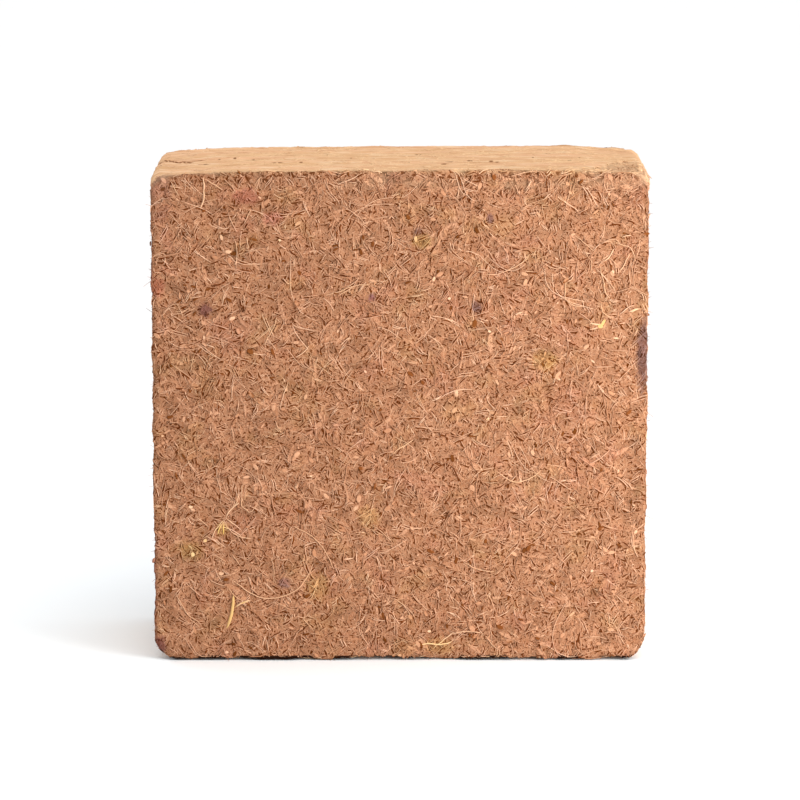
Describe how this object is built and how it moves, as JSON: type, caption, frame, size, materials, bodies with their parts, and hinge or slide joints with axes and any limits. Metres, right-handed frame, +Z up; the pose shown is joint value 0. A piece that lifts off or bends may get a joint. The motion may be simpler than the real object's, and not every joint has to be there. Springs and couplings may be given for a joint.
{
  "type": "coconut coir bale",
  "caption": "Square pressed block of coconut coir with rounded corners, matted fibrous large faces and layered, cracked narrow sides, standing on a narrow side.",
  "frame": {"origin": "middle of the underside, on the surface that the block stands on", "axes": "+Z up, +X to the right as seen from the front, -Y out of the front matted face, so Y runs through the block's thickness"},
  "size_m": [0.3006, 0.11, 0.3027],
  "materials": {
    "coir": "rough, matted plant fibre and pith"
  },
  "bodies": {
    "root": {"coir_bale": "coir"}
  },
  "joints": []
}
